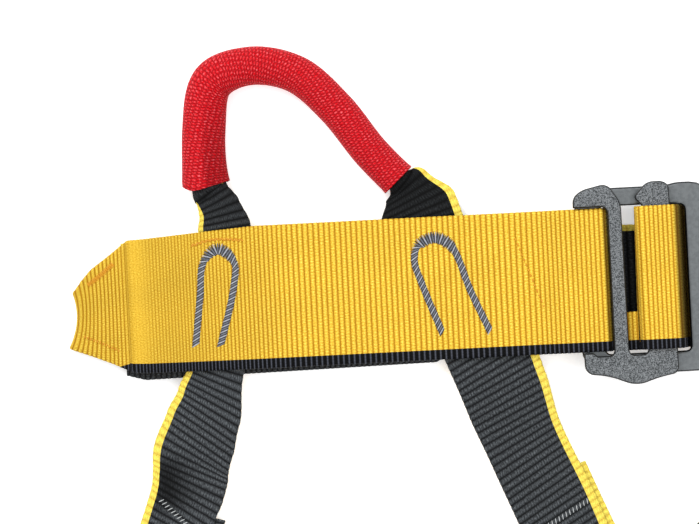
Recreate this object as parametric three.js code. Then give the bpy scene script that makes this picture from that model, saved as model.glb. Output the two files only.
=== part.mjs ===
// A climbing chest harness lying flat: wide front band with a sewn buckle, a sleeved tie-in loop,
// two shoulder straps and a back strap. Millimetres, +X along the band, +Y to the loop, +Z up.
// The origin is on the surface it lies on, under the band's centre line and the tie-in loop.
import * as THREE from "three";

// Webbing
const WEB = 1.6; // thickness of the woven webbing
const GAP = 0.3; // clearance between layers that lie on each other
const BAND_WIDTH = 45; // front and side bands
const STRAP_WIDTH = 25; // shoulder, back and tie-in webbing

// Chest loop as it lies
const LEFT_TIP = -79; // outer end of the left taper
const FLAT_LENGTH = 415; // from the left tip to the right tip
const TAPER = 19; // length over which a band narrows to its tip
const TIP_HOLLOW = 2.2; // how far the middle of a tip draws in
const TIP_SKEW = 2; // how far the tip's upper corner stands back from its lower one
const TUCK = 6.7; // turned-under end of a tip

// Tie-in loop
const LOOP_SPAN = 60.3; // between the centres of the loop's two feet
const LOOP_LEFT = -34.4; // centre of the left foot
const LOOP_HEIGHT = 73; // from the band's centre line to the loop's crown
const SLEEVE_WIDTH = 12.6; // widest stretch is a little more, the narrowest a little less
const SLEEVE_HEIGHT = 9.4;
const SLEEVE_WALL = 1.0;
const SLEEVE_PLAY = 0.6; // between the webbing and the inside of the sleeve
const CURL = 300; // degrees that the webbing wraps inside the sleeve

// Buckle
const RAIL_RIGHT = 88.5; // right edge of the frame's left rail
const FRAME_THICKNESS = 3;
const FRAME_RAIL = 8.7; // width of the left rail
const FRAME_END_RAIL = 9.7; // width of the right rail
const FRAME_SIDE_RAIL = 5.8; // width of the top and bottom rails
const FRAME_WINDOW = 26.8; // opening along X
const FRAME_CORNER = 5;
const WINDOW_SLACK = 1; // beyond the band's edges at each end of the window
const PLATE_THICKNESS = 3;
const PLATE_BAR = 4.6; // visible bar of the hook plate
const PLATE_SLOT = 6; // slot between the visible bar and the covered one
const PLATE_COVERED_BAR = 9.3; // bar under the side band
const WRAP_SLACK = 1.2; // play of the side band beside the covered bar
const PLATE_LOBE = 6.9; // height of the lobes above the band's edge
const PLATE_FOOT = 10.4; // depth of the foot below the band's edge
const PLATE_REACH = 10.3; // how far the lobe and the foot reach left of the visible bar
const BEVEL = 0.5; // rounded edges of both metal pieces

// Heights of the middle of each layer, counted up from the surface
const layer = (count) => count * (WEB + GAP) + WEB / 2;
const FRAME_BASE = layer(2) + WEB / 2 + GAP;
const FRAME_TOP = FRAME_BASE + FRAME_THICKNESS;
const PLATE_BASE = FRAME_TOP + GAP;
const PLATE_TOP = PLATE_BASE + PLATE_THICKNESS;
const OVER_RAIL = FRAME_TOP + GAP + WEB / 2;
const OVER_PLATE = PLATE_TOP + GAP + WEB / 2;
const UNDER_PLATE = PLATE_BASE - GAP - WEB / 2;

const HALF_BAND = BAND_WIDTH / 2;
const HALF_STRAP = STRAP_WIDTH / 2;
const RIGHT_TIP = LEFT_TIP + FLAT_LENGTH;
const FOLD_X = RAIL_RIGHT + GAP + WEB / 2;
const BAR_LEFT = FOLD_X + WEB / 2 + 2 * GAP;
const BAR_RIGHT = BAR_LEFT + PLATE_BAR;
const COVERED_LEFT = BAR_RIGHT + PLATE_SLOT;
const COVERED_RIGHT = COVERED_LEFT + PLATE_COVERED_BAR;
const WRAP_LEFT = COVERED_LEFT - GAP - WEB / 2;
const WRAP_RIGHT = COVERED_RIGHT + WRAP_SLACK + WEB / 2;
const WINDOW_RIGHT = Math.max(RAIL_RIGHT + FRAME_WINDOW, WRAP_RIGHT + WEB / 2 + GAP);

const YELLOW = 0xf0bb1e;
const BLACK = 0x2c2f33;
const RED = 0xcc1226;
const GREY = 0x6f7276;

const lerp = THREE.MathUtils.lerp;

// A closed solid from a grid of points on the middle of a sheet, rows along it and columns across it.
function sheetSolid(grid, thickness) {
  const rows = grid.length;
  const columns = grid[0].length;
  const positions = [];
  const at = (side, row, column) => (side * rows + row) * columns + column;
  for (const side of [1, -1]) {
    for (let row = 0; row < rows; row += 1) {
      for (let column = 0; column < columns; column += 1) {
        const along = grid[Math.min(row + 1, rows - 1)][column].clone().sub(grid[Math.max(row - 1, 0)][column]);
        const right = grid[row][Math.min(column + 1, columns - 1)].clone();
        const across = right.sub(grid[row][Math.max(column - 1, 0)]);
        const normal = along.cross(across).normalize();
        const point = grid[row][column].clone().addScaledVector(normal, (side * thickness) / 2);
        positions.push(point.x, point.y, point.z);
      }
    }
  }
  const index = [];
  const quad = (a, b, c, d) => index.push(a, b, c, a, c, d);
  for (let row = 0; row < rows - 1; row += 1) {
    for (let column = 0; column < columns - 1; column += 1) {
      quad(at(0, row, column), at(0, row + 1, column), at(0, row + 1, column + 1), at(0, row, column + 1));
      quad(at(1, row, column), at(1, row, column + 1), at(1, row + 1, column + 1), at(1, row + 1, column));
    }
    const last = columns - 1;
    quad(at(0, row, 0), at(1, row, 0), at(1, row + 1, 0), at(0, row + 1, 0));
    quad(at(0, row, last), at(0, row + 1, last), at(1, row + 1, last), at(1, row, last));
  }
  for (let column = 0; column < columns - 1; column += 1) {
    const last = rows - 1;
    quad(at(0, 0, column), at(0, 0, column + 1), at(1, 0, column + 1), at(1, 0, column));
    quad(at(0, last, column), at(1, last, column), at(1, last, column + 1), at(0, last, column + 1));
  }
  const geometry = new THREE.BufferGeometry();
  geometry.setAttribute("position", new THREE.Float32BufferAttribute(positions, 3));
  geometry.setIndex(index);
  geometry.computeVertexNormals();
  return geometry;
}

// Rounds the corners of a route whose rows have x, z, the edges low and high, and the length turn.
function roundRoute(rows, steps = 5) {
  const blend = (from, to, share) => ({
    x: lerp(from.x, to.x, share),
    z: lerp(from.z, to.z, share),
    low: lerp(from.low, to.low, share),
    high: lerp(from.high, to.high, share),
  });
  const route = [rows[0]];
  for (let place = 1; place < rows.length - 1; place += 1) {
    const corner = rows[place];
    const before = rows[place - 1];
    const after = rows[place + 1];
    const reach = (other) => Math.hypot(other.x - corner.x, other.z - corner.z);
    if (!corner.turn) {
      route.push(corner);
      continue;
    }
    const start = blend(corner, before, corner.turn / reach(before));
    const end = blend(corner, after, corner.turn / reach(after));
    for (let step = 0; step <= steps; step += 1) {
      const share = step / steps;
      route.push(blend(blend(start, corner, share), blend(corner, end, share), share));
    }
  }
  route.push(rows[rows.length - 1]);
  return route.filter((row, place) => {
    const before = route[place - 1];
    return !before || Math.hypot(row.x - before.x, row.z - before.z) > 0.05;
  });
}

// A strip that runs along X: its grid, with the hollow and skew of a tip near the ends.
function stripAlongX(rows, columns) {
  return roundRoute(rows).map((row) => {
    const pull = (tip, inward) => {
      const share = THREE.MathUtils.clamp(1 - (inward * (row.x - tip)) / TAPER, 0, 1);
      return inward * share * share;
    };
    const tipPull = pull(LEFT_TIP, 1) + pull(RIGHT_TIP, -1);
    const points = [];
    for (let column = 0; column <= columns; column += 1) {
      const share = column / columns;
      const hollow = TIP_HOLLOW * (1 - (2 * share - 1) ** 2);
      const skew = TIP_SKEW * (share - 0.5);
      points.push(new THREE.Vector3(row.x + tipPull * (hollow + skew), lerp(row.low, row.high, share), row.z));
    }
    return points;
  });
}

// Edges of a band that narrows to its tip: how far from the tip, and the edges as shares of the half band.
const TIP_ROWS = [
  { from: 1, low: -0.96, high: 0.88 },
  { from: 0.68, low: -0.83, high: 0.68 },
  { from: 0.36, low: -0.71, high: 0.5 },
  { from: 0.13, low: -0.63, high: 0.32 },
];
const TIP_EDGE = { low: -0.6, high: 0.2 };

// The rows of a tip from the band outwards, round the fold and back under; inward is +1 at the left.
function tipRows(tip, inward, height) {
  const rows = TIP_ROWS.map((row) => ({
    x: tip + inward * row.from * TAPER,
    z: row.from === 1 ? height : layer(2),
    low: row.low * HALF_BAND,
    high: row.high * HALF_BAND,
    turn: row.from === 1 ? 2 : 0,
  }));
  const edge = { low: TIP_EDGE.low * HALF_BAND, high: TIP_EDGE.high * HALF_BAND };
  const turn = layer(1) - layer(0);
  rows.push({ x: tip + inward * (WEB / 2), z: layer(2), ...edge, turn });
  rows.push({ x: tip + inward * (WEB / 2), z: layer(0), ...edge, turn });
  rows.push({ x: tip + inward * TUCK, z: layer(0), ...edge });
  return rows;
}

function frontBand() {
  const full = { low: -HALF_BAND, high: HALF_BAND };
  const turn = (OVER_RAIL - layer(2)) / 2;
  const railLeft = RAIL_RIGHT - FRAME_RAIL;
  const rows = [
    { x: RAIL_RIGHT - 22, z: layer(2), ...full },
    { x: FOLD_X, z: layer(2), ...full, turn },
    { x: FOLD_X, z: OVER_RAIL, ...full, turn },
    { x: railLeft - 2.4, z: OVER_RAIL, ...full, turn: 2 },
    { x: railLeft - 10, z: layer(3), ...full, turn: 2 },
    { x: -20, z: layer(3), ...full },
    { x: -40, z: layer(3), low: -0.99 * HALF_BAND, high: 0.94 * HALF_BAND },
    { x: LEFT_TIP + TAPER + 4, z: layer(3), low: -0.98 * HALF_BAND, high: 0.89 * HALF_BAND, turn: 2 },
    ...tipRows(LEFT_TIP, 1, layer(2.4)),
  ];
  return sheetSolid(stripAlongX(rows, 6), WEB);
}

function backingBand() {
  const rows = [
    { x: LEFT_TIP + 17, z: layer(1), low: -22.6, high: 19 },
    { x: LEFT_TIP + 23, z: layer(1), low: -1.08 * HALF_BAND, high: 19 },
    { x: 45, z: layer(1), low: -1.035 * HALF_BAND, high: 20 },
  ];
  return sheetSolid(stripAlongX(rows, 2), WEB);
}

// From the tail under the plate's visible bar, over its covered bar, under the frame and on to the right tip.
function sideBand() {
  const tail = { low: -HALF_BAND, high: -0.47 * HALF_BAND };
  const full = { low: -HALF_BAND, high: HALF_BAND };
  const rows = [
    { x: BAR_LEFT + 1.3, z: UNDER_PLATE, ...tail },
    { x: WRAP_LEFT - 1.6, z: UNDER_PLATE, ...tail },
    { x: WRAP_LEFT - 1.1, z: UNDER_PLATE, ...full },
    { x: WRAP_LEFT, z: UNDER_PLATE, ...full, turn: 1 },
    { x: WRAP_LEFT, z: OVER_PLATE, ...full, turn: 2 },
    { x: WRAP_RIGHT, z: OVER_PLATE, ...full, turn: 2 },
    { x: WRAP_RIGHT, z: layer(2), ...full, turn: 1.8 },
    { x: WINDOW_RIGHT + 10, z: layer(2), ...full },
    { x: RIGHT_TIP - TAPER - 30, z: layer(2), ...full },
    ...tipRows(RIGHT_TIP, -1, layer(2)),
  ];
  return sheetSolid(stripAlongX(rows, 6), WEB);
}

// The back strap's own narrowing where its ends go into the tips, from the tip inwards.
function backStrap() {
  const end = { low: -0.52 * HALF_BAND, high: 0.14 * HALF_BAND };
  const near = { low: -0.6 * HALF_BAND, high: 0.36 * HALF_BAND };
  const wide = (middle) => ({ low: middle - HALF_STRAP, high: middle + HALF_STRAP });
  const rows = [
    { x: LEFT_TIP + 3.4, z: layer(1), ...end },
    { x: LEFT_TIP + 9, z: layer(1), ...near, turn: 1.5 },
    { x: LEFT_TIP + 16, z: layer(0), ...wide(-3.5), turn: 1.5 },
    { x: -20, z: layer(0), ...wide(-2) },
    { x: BAR_RIGHT, z: layer(0), ...wide(3) },
    { x: RIGHT_TIP - 60, z: layer(0), ...wide(0) },
    { x: RIGHT_TIP - 16, z: layer(0), ...wide(-3), turn: 1.5 },
    { x: RIGHT_TIP - 9, z: layer(1), ...near, turn: 1.5 },
    { x: RIGHT_TIP - 3.4, z: layer(1), ...end },
  ];
  return sheetSolid(stripAlongX(rows, 3), WEB);
}

// The tie-in loop's rows from its left foot to its right one: shares of the loop's span and height, and
// the sleeve's width as a share of the named one.
const LOOP_ROWS = [
  { across: 0, up: 0.495, tube: 1.09 },
  { across: -0.003, up: 0.74, tube: 1.09 },
  { across: 0.055, up: 0.94, tube: 1.06 },
  { across: 0.25, up: 1, tube: 0.97 },
  { across: 0.49, up: 0.955, tube: 0.95 },
  { across: 0.69, up: 0.8, tube: 0.93 },
  { across: 0.86, up: 0.605, tube: 0.92 },
  { across: 1, up: 0.475, tube: 0.92 },
];

// The webbing's legs from the sleeve's feet down: x, y, height, width and how far it is curled.
const LEFT_LEG = [
  { x: -33.2, y: 33.6, z: SLEEVE_HEIGHT / 2, width: 0.6 * STRAP_WIDTH, curl: 0.8 },
  { x: -30.6, y: 25.5, z: layer(2), width: 0.74 * STRAP_WIDTH, curl: 0 },
  { x: -30, y: 17, z: layer(2), width: 0.76 * STRAP_WIDTH, curl: 0 },
  { x: -32, y: 0, z: layer(2), width: STRAP_WIDTH, curl: 0 },
  { x: -34.8, y: -24, z: layer(2), width: STRAP_WIDTH, curl: 0 },
  { x: -37.8, y: -34, z: layer(1.6), width: STRAP_WIDTH, curl: 0 },
  { x: -43.4, y: -50, z: layer(1), width: STRAP_WIDTH, curl: 0 },
  { x: -49.2, y: -70, z: layer(1), width: STRAP_WIDTH, curl: 0 },
  { x: -55.5, y: -92, z: layer(1), width: STRAP_WIDTH, curl: 0 },
];
const RIGHT_LEG = [
  { x: 28.1, y: 32, z: SLEEVE_HEIGHT / 2, width: 0.6 * STRAP_WIDTH, curl: 0.8 },
  { x: 31.6, y: 25.5, z: layer(2), width: STRAP_WIDTH, curl: 0 },
  { x: 34.4, y: 17, z: layer(2), width: STRAP_WIDTH, curl: 0 },
  { x: 42, y: 0, z: layer(2), width: STRAP_WIDTH, curl: 0 },
  { x: 51.4, y: -24, z: layer(2), width: STRAP_WIDTH, curl: 0 },
  { x: 55.2, y: -34, z: layer(1.6), width: STRAP_WIDTH, curl: 0 },
  { x: 61.6, y: -50, z: layer(1), width: STRAP_WIDTH, curl: 0 },
  { x: 70, y: -71, z: layer(1), width: STRAP_WIDTH, curl: 0 },
  { x: 77.4, y: -89, z: layer(1), width: STRAP_WIDTH, curl: 0 },
];

// Places along a smooth level route through a table's rows, with every other column blended between them.
function places(table, steps) {
  const curve = new THREE.CatmullRomCurve3(table.map((row) => new THREE.Vector3(row.x, row.y, 0)));
  const found = [];
  const total = (table.length - 1) * steps;
  for (let step = 0; step <= total; step += 1) {
    const row = Math.min(Math.floor(step / steps), table.length - 2);
    const share = step / steps - row;
    const soft = THREE.MathUtils.smoothstep(share, 0, 1);
    const place = { along: curve.getTangent(step / total), point: curve.getPoint(step / total) };
    for (const column of Object.keys(table[row])) {
      place[column] = lerp(table[row][column], table[row + 1][column], soft);
    }
    place.point.z = place.z;
    place.left = new THREE.Vector3(-place.along.y, place.along.x, 0).normalize();
    found.push(place);
  }
  return found;
}

function loopTable() {
  return LOOP_ROWS.map((row) => ({
    x: LOOP_LEFT + row.across * LOOP_SPAN,
    y: row.up * LOOP_HEIGHT,
    z: SLEEVE_HEIGHT / 2,
    width: STRAP_WIDTH,
    curl: 1,
    tube: row.tube * SLEEVE_WIDTH,
  }));
}

// The whole strip's places, and those of the sleeved stretch between its feet.
const LOOP_STEPS = 4;
function tieInPlaces() {
  const leg = (rows, tube) => rows.map((row) => ({ ...row, tube: tube * SLEEVE_WIDTH }));
  const leftLeg = leg(LEFT_LEG, LOOP_ROWS[0].tube).reverse();
  const rightLeg = leg(RIGHT_LEG, LOOP_ROWS[LOOP_ROWS.length - 1].tube);
  return places([...leftLeg, ...loopTable(), ...rightLeg], LOOP_STEPS);
}
function sleevedPlaces() {
  const first = LEFT_LEG.length * LOOP_STEPS;
  return tieInPlaces().slice(first, first + (LOOP_ROWS.length - 1) * LOOP_STEPS + 1);
}

// One strip: up the left leg, curled inside the sleeve round the loop, and down the right leg.
function tieInWebbing() {
  const columns = 8;
  const inset = SLEEVE_WALL + SLEEVE_PLAY + WEB / 2;
  const grid = tieInPlaces().map((place) => {
    const points = [];
    for (let column = 0; column <= columns; column += 1) {
      const share = column / columns - 0.5;
      const angle = THREE.MathUtils.degToRad(CURL * share);
      const flat = share * place.width;
      const curledAcross = (place.tube / 2 - inset) * Math.sin(angle);
      const curledUp = (SLEEVE_HEIGHT / 2 - inset) * Math.cos(angle);
      const point = place.point.clone().addScaledVector(place.left, lerp(flat, curledAcross, place.curl));
      point.z += curledUp * place.curl;
      points.push(point);
    }
    return points;
  });
  return sheetSolid(grid, WEB);
}

// The red tube: an oval ring of wall carried round the loop, open at both feet.
function loopSleeve() {
  const sides = 16;
  const stations = sleevedPlaces();
  const positions = [];
  const at = (skin, row, side) => (skin * stations.length + row) * sides + (side % sides);
  for (const inset of [0, SLEEVE_WALL]) {
    for (const station of stations) {
      for (let side = 0; side < sides; side += 1) {
        const angle = (side / sides) * 2 * Math.PI;
        const across = (station.tube / 2 - inset) * Math.cos(angle);
        const up = (SLEEVE_HEIGHT / 2 - inset) * Math.sin(angle);
        const point = station.point.clone().addScaledVector(station.left, across);
        positions.push(point.x, point.y, point.z + up);
      }
    }
  }
  const index = [];
  const quad = (a, b, c, d) => index.push(a, b, c, a, c, d);
  const last = stations.length - 1;
  for (let side = 0; side < sides; side += 1) {
    for (let row = 0; row < last; row += 1) {
      quad(at(0, row, side), at(0, row, side + 1), at(0, row + 1, side + 1), at(0, row + 1, side));
      quad(at(1, row, side), at(1, row + 1, side), at(1, row + 1, side + 1), at(1, row, side + 1));
    }
    quad(at(0, 0, side), at(1, 0, side), at(1, 0, side + 1), at(0, 0, side + 1));
    quad(at(0, last, side), at(0, last, side + 1), at(1, last, side + 1), at(1, last, side));
  }
  const geometry = new THREE.BufferGeometry();
  geometry.setAttribute("position", new THREE.Float32BufferAttribute(positions, 3));
  geometry.setIndex(index);
  geometry.computeVertexNormals();
  return geometry;
}

// Each shoulder strap: level routes to its shoulder fold, where it turns over, and back to the back strap.
const SHOULDERS = {
  shoulder_strap_left: {
    down: [[-44.6, -62], [-47.4, -73], [-60, -116], [-95, -268]],
    back: [[-95, -268], [60, -140], [222, -6]],
  },
  shoulder_strap_right: {
    down: [[65.8, -54], [73, -72], [90, -114], [165, -325]],
    back: [[165, -325], [231, -170], [300, -6]],
  },
};

function shoulderStrap({ down, back }) {
  const level = (points, height) => points.map(([x, y]) => ({ x, y, z: height }));
  const downwards = places(level(down, layer(0)), 7);
  const upwards = places(level(back, layer(1)), 10);
  const arriving = downwards[downwards.length - 1];
  const leaving = upwards[0];
  const out = arriving.along.clone().sub(leaving.along).normalize();
  const foldLine = new THREE.Vector3(-out.y, out.x, 0);
  foldLine.multiplyScalar(1 / foldLine.dot(arriving.left));
  const returning = foldLine.dot(leaving.left) > 0 ? 1 : -1;
  const shearLength = 2 * STRAP_WIDTH;
  const rows = [];
  const sheared = (place, fold, side) => {
    const share = THREE.MathUtils.clamp(1 - place.point.distanceTo(fold.point) / shearLength, 0, 1);
    return place.left.clone().multiplyScalar(side).lerp(foldLine, share);
  };
  for (const place of downwards) {
    rows.push({ point: place.point, across: sheared(place, arriving, 1) });
  }
  const radius = (layer(1) - layer(0)) / 2;
  const turns = 6;
  for (let turn = 1; turn < turns; turn += 1) {
    const angle = (turn / turns) * Math.PI;
    const point = arriving.point.clone().addScaledVector(out, radius * Math.sin(angle));
    point.z = layer(0) + radius * (1 - Math.cos(angle));
    rows.push({ point, across: foldLine });
  }
  for (const place of upwards) {
    rows.push({ point: place.point, across: sheared(place, leaving, returning) });
  }
  const edges = [-1, -0.34, 0.34, 1];
  const grid = rows.map(({ point, across }) =>
    edges.map((edge) => point.clone().addScaledVector(across, edge * HALF_STRAP)),
  );
  return sheetSolid(grid, WEB);
}

// A shape from corners that are [x, y, length of the rounding on each side].
function roundedShape(corners, target = new THREE.Shape()) {
  corners.forEach(([x, y, round], place) => {
    const corner = new THREE.Vector2(x, y);
    const before = new THREE.Vector2(...corners[(place + corners.length - 1) % corners.length]);
    const after = new THREE.Vector2(...corners[(place + 1) % corners.length]);
    const start = corner.clone().add(before.sub(corner).setLength(round));
    const end = corner.clone().add(after.sub(corner).setLength(round));
    if (place === 0) target.moveTo(start.x, start.y);
    else target.lineTo(start.x, start.y);
    if (round > 0) target.quadraticCurveTo(x, y, end.x, end.y);
  });
  return target;
}

function metalPlate(shape, thickness, base) {
  const geometry = new THREE.ExtrudeGeometry(shape, {
    depth: thickness - 2 * BEVEL,
    bevelThickness: BEVEL,
    bevelSize: BEVEL,
    bevelOffset: -BEVEL,
    bevelSegments: 1,
    curveSegments: 4,
  });
  geometry.translate(0, 0, base + BEVEL);
  return geometry;
}

const box = (left, right, low, high, round) => [
  [left, low, round],
  [right, low, round],
  [right, high, round],
  [left, high, round],
];

function buckleFrame() {
  const windowEnd = HALF_BAND + WINDOW_SLACK;
  const end = windowEnd + FRAME_SIDE_RAIL;
  const right = WINDOW_RIGHT + FRAME_END_RAIL;
  const shape = roundedShape(box(RAIL_RIGHT - FRAME_RAIL, right, -end, end, FRAME_CORNER));
  const window = box(RAIL_RIGHT, WINDOW_RIGHT, -windowEnd, windowEnd, 1.5).reverse();
  shape.holes.push(roundedShape(window, new THREE.Path()));
  return metalPlate(shape, FRAME_THICKNESS, FRAME_BASE);
}

// The hook plate: a foot below the band, the visible bar with a lobe to the left, the covered bar with its own.
function bucklePlate() {
  const left = BAR_LEFT - PLATE_REACH;
  const edge = HALF_BAND + GAP + 0.1;
  const slotEnd = edge + 1.1;
  const top = HALF_BAND + PLATE_LOBE + 0.6;
  const foot = -HALF_BAND - PLATE_FOOT;
  const middle = (BAR_RIGHT + COVERED_LEFT) / 2;
  const shape = roundedShape([
    [left + 0.6, -edge, 0],
    [left + 0.8, foot + 3.4, 2.6],
    [middle - 10, foot + 2.6, 3],
    [middle - 1, foot - 0.4, 3.2],
    [COVERED_RIGHT - 7, foot + 2.2, 3],
    [COVERED_RIGHT, foot + 3.8, 2],
    [COVERED_RIGHT - 0.4, top - 1.2, 1.1],
    [COVERED_RIGHT - 2.4, top + 0.2, 1.1],
    [COVERED_LEFT + 2, top + 0.2, 1.8],
    [COVERED_LEFT - 2.4, edge + 2.6, 1.2],
    [COVERED_LEFT, edge - 0.1, 0],
    [COVERED_LEFT, -slotEnd, 1.6],
    [BAR_RIGHT, -slotEnd, 1.6],
    [BAR_RIGHT - 0.4, edge + 1, 2],
    [BAR_LEFT + 0.2, top + 0.3, 2.4],
    [left + 2, top - 1.6, 1.7],
    [left - 0.6, top - 4, 1.3],
    [left - 0.6, edge, 0],
    [BAR_LEFT - 0.2, edge, 2.2],
    [BAR_LEFT + 0.2, -slotEnd, 1.6],
    [BAR_LEFT - 5.4, -slotEnd, 0],
    [BAR_LEFT - 6.6, -edge, 0],
  ]);
  return metalPlate(shape, PLATE_THICKNESS, PLATE_BASE);
}

const harness = new THREE.Group();
harness.name = "climbing_chest_harness";

function addPiece(name, geometry, color, roughness, metalness = 0) {
  const material = new THREE.MeshStandardMaterial({ color, roughness, metalness });
  const mesh = new THREE.Mesh(geometry, material);
  mesh.name = name;
  harness.add(mesh);
}

addPiece("front_band", frontBand(), YELLOW, 0.75);
addPiece("backing_band", backingBand(), BLACK, 0.8);
addPiece("side_band", sideBand(), YELLOW, 0.75);
addPiece("back_strap", backStrap(), BLACK, 0.8);
addPiece("tie_in_webbing", tieInWebbing(), BLACK, 0.8);
addPiece("loop_sleeve", loopSleeve(), RED, 0.8);
for (const [name, routes] of Object.entries(SHOULDERS)) {
  addPiece(name, shoulderStrap(routes), BLACK, 0.8);
}
addPiece("buckle_frame", buckleFrame(), GREY, 0.45, 0.9);
addPiece("buckle_plate", bucklePlate(), GREY, 0.6, 0.9);

export default harness;
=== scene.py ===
"""A climbing chest harness lying flat: woven webbing, a sleeved tie-in loop, stitching and a buckle."""

import math

import bmesh
import bpy
from bpy.props import FloatProperty, StringProperty
from mathutils import Matrix, Vector


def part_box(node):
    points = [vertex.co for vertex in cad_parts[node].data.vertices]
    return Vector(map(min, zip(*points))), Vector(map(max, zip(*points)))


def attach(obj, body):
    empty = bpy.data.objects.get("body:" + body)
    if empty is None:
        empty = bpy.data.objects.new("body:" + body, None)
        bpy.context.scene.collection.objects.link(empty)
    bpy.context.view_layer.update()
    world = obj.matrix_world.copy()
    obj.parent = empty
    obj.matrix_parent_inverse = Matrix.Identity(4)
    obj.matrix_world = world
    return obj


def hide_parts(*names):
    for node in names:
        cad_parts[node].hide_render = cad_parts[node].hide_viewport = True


bl_info = {
    "name": "Climbing chest harness",
    "version": (1, 0, 0),
    "blender": (4, 5, 0),
    "location": "View3D > Sidebar > Harness",
    "description": "Makes the webbing, the tie-in loop, the stitching and the buckle of a chest harness",
    "category": "Add Mesh",
}

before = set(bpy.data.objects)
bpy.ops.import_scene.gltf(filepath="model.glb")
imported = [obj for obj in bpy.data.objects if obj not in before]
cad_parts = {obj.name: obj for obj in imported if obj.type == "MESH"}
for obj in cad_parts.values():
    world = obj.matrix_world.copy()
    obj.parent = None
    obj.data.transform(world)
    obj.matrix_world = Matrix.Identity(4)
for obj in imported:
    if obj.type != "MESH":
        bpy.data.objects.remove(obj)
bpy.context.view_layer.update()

MM = 0.001

# Webbing, in millimetres: thickness, clearance between layers, widths
WEB = 1.6
GAP = 0.3
BAND_WIDTH = 45.0
STRAP_WIDTH = 25.0

# The bands' tips: where they end, their taper, the bow and slant of the end, and the turned-under stretch
LEFT_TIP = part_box("front_band")[0][0] / MM
RIGHT_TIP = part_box("side_band")[1][0] / MM
TAPER = 19.0
TAPER_ROUNDING = 0.8
TIP_HOLLOW = 2.2
TIP_SKEW = 2.0
TUCK = 6.7
EDGE_WEDGE = 4.6

# The tie-in loop and its sleeve; the curl is how far round the webbing goes inside the sleeve, in degrees
LOOP_SPAN = 60.3
LOOP_LEFT = -34.4
LOOP_HEIGHT = 73.0
SLEEVE_WIDTH = 12.6
SLEEVE_HEIGHT = 9.4
SLEEVE_WALL = 1.0
SLEEVE_PLAY = 0.6
SLEEVE_GIRTH = 2.8
CURL = 300.0

# The buckle's frame, then its plate; the lobes and the foot are measured out from the band's edge
RAIL_RIGHT = 88.5
FRAME_RAIL = 8.7
FRAME_END_RAIL = 9.7
FRAME_SIDE_RAIL = 5.8
FRAME_WINDOW = 26.8
FRAME_CORNER = 5.0
WINDOW_SLACK = 1.0
PLATE_BAR = 4.6
PLATE_SLOT = 6.0
PLATE_COVERED_BAR = 9.3
WRAP_SLACK = 1.2
PLATE_LOBE = 6.9
PLATE_FOOT = 10.4
PLATE_REACH = 10.3
FRAME_RIM = 0.9
PLATE_RIM = 0.75
# The frame isn't even round the band: these edges lie lower by this much, and its upper right end higher
FRAME_DROP = 0.8
WINDOW_DROP = 1.0
BRIDGE_DROP = 0.5
FRAME_RISE = 0.3

# Places that follow from the sizes and from the solids
HALF_BAND = BAND_WIDTH / 2
HALF_STRAP = STRAP_WIDTH / 2
FOLD_EASE = 0.8
FRAME_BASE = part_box("buckle_frame")[0][2] / MM
FRAME_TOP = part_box("buckle_frame")[1][2] / MM
PLATE_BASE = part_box("buckle_plate")[0][2] / MM
PLATE_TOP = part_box("buckle_plate")[1][2] / MM
OVER_RAIL = FRAME_TOP + GAP + WEB / 2
OVER_PLATE = PLATE_TOP + GAP + WEB / 2
UNDER_PLATE = PLATE_BASE - GAP - WEB / 2
FOLD_X = RAIL_RIGHT + GAP + WEB / 2
BAR_LEFT = FOLD_X + WEB / 2 + 2 * GAP
BAR_RIGHT = BAR_LEFT + PLATE_BAR
COVERED_LEFT = BAR_RIGHT + PLATE_SLOT
COVERED_RIGHT = COVERED_LEFT + PLATE_COVERED_BAR
WRAP_LEFT = COVERED_LEFT - GAP - WEB / 2
WRAP_RIGHT = COVERED_RIGHT + WRAP_SLACK + WEB / 2
WINDOW_RIGHT = max(RAIL_RIGHT + FRAME_WINDOW, WRAP_RIGHT + WEB / 2 + GAP)

# The side band's cut end shows beside the wrap: its share of the band's width, and where it starts and ends
TAIL_SHARE = 0.265
TAIL_START = BAR_LEFT + 1.3
TAIL_END = WRAP_LEFT - 1.6
TAIL_MIDDLE = WRAP_LEFT - 1.3
TAIL_WIDENED = WRAP_LEFT - 1.1


def layer(count):
    """Height of the middle of a layer of webbing, counted up from the surface."""
    return count * (WEB + GAP) + WEB / 2


def mix(start, end, share):
    return start + (end - start) * share


def read_table(table, place):
    """The value at a place in a table of (place, value) rows, blended between rows."""
    if place <= table[0][0]:
        return table[0][1]
    for (start, before), (end, after) in zip(table, table[1:]):
        if place <= end:
            return mix(before, after, (place - start) / (end - start))
    return table[-1][1]


def soft_step(share):
    share = max(0.0, min(1.0, share))
    return share * share * (3 - 2 * share)


# Routes


def round_route(rows, steps=8):
    """Rounds the corners of a route whose rows are (x, z, low, high, turn)."""

    def blend(start, end, share):
        return tuple(mix(a, b, share) for a, b in zip(start, end))

    route = [rows[0][:4]]
    for before, corner, after in zip(rows, rows[1:], rows[2:]):
        turn = corner[4]
        if not turn:
            route.append(corner[:4])
            continue
        start = blend(corner[:4], before[:4], turn / math.dist(before[:2], corner[:2]))
        end = blend(corner[:4], after[:4], turn / math.dist(after[:2], corner[:2]))
        for step in range(steps + 1):
            share = step / steps
            route.append(blend(blend(start, corner[:4], share), blend(corner[:4], end, share), share))
    route.append(rows[-1][:4])
    shortest_step = 0.05
    kept = [route[0]]
    for row in route[1:]:
        if math.dist(row[:2], kept[-1][:2]) > shortest_step:
            kept.append(row)
    return kept


BAND_PITCH = (
    # x, distance between ribs there: the band is drawn together towards its left end
    (-70, 1.22),
    (-62, 1.16),
    (-58, 1.02),
    (-41, 1.02),
    (-35, 1.14),
    (-22, 1.30),
    (-7, 1.70),
    (45, 1.70),
    (56, 1.82),
    (66, 1.76),
    (73, 1.52),
    (98, 1.45),
)
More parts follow.
